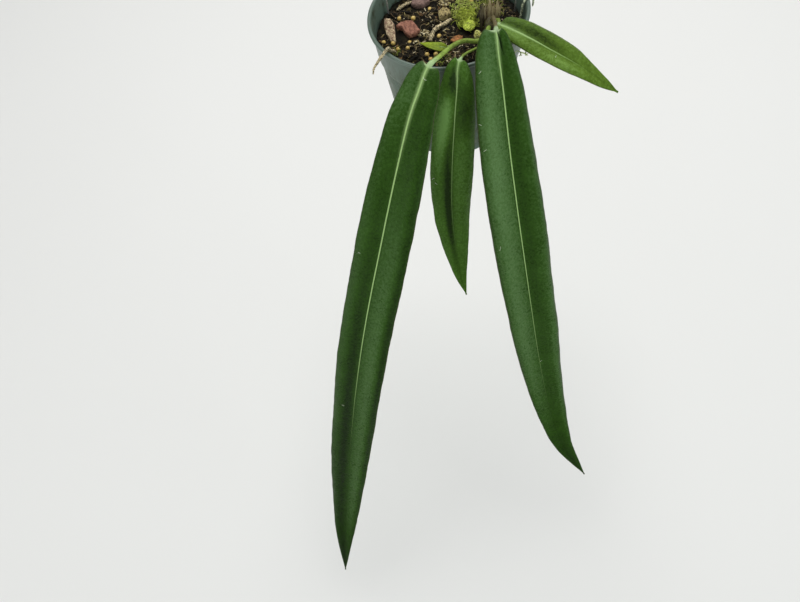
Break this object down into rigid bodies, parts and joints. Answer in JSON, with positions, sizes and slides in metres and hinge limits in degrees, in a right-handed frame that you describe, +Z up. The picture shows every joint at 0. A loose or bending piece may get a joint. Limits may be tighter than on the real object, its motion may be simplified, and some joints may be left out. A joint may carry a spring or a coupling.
{
  "type": "potted anthurium pallidiflorum",
  "caption": "Hanging pot on wires and a rail hook, filled with bark mix, planted with an anthurium whose long strap leaves hang over the rim.",
  "frame": {"origin": "the point inside the top of the hook's bend where it bears on its rail, straight above the middle of the pot", "axes": "+Z up, along the pot's axis; -Y towards the side over which the long leaves hang; +X to the right seen from that side"},
  "size_m": [0.3482, 0.3961, 0.7347],
  "materials": {
    "pot_plastic": "satin moulded plastic",
    "bark_mix": "damp, coarse",
    "wire": "galvanised wire",
    "stem_bark": "dull",
    "dry_sheath": "dry, fibrous",
    "moss_yellow": "soft, tufted",
    "leaf_deep": "satin, living leaf",
    "leaf_light": "satin, living leaf",
    "shoot_lime": "soft, living",
    "moss": "soft, tufted",
    "root_tan": "dull",
    "root_pale": "dull",
    "bark_red": "rough bark",
    "bark_mauve": "rough bark",
    "bark_orange": "rough bark",
    "cork": "knobbly cork"
  },
  "bodies": {
    "root": {"pot": "pot_plastic", "potting_mix": "bark_mix", "hanger_hook": "wire", "hanger_wire_left": "wire", "hanger_wire_right": "wire", "stem": "stem_bark", "cataphylls": "dry_sheath", "moss_tip": "moss_yellow", "leaf_left": "leaf_deep", "leaf_middle": "leaf_deep", "leaf_front": "leaf_deep", "leaf_right": "leaf_light", "young_shoot": "shoot_lime", "moss_tuft": "moss", "aerial_root_left": "root_tan", "aerial_root_right": "root_pale", "aerial_root_front": "root_pale", "surface_root_long": "root_tan", "surface_root_short": "root_tan", "bark_red": "bark_red", "bark_mauve": "bark_mauve", "bark_strip": "bark_mauve", "bark_orange": "bark_orange", "cork_lump": "cork"}
  },
  "joints": []
}
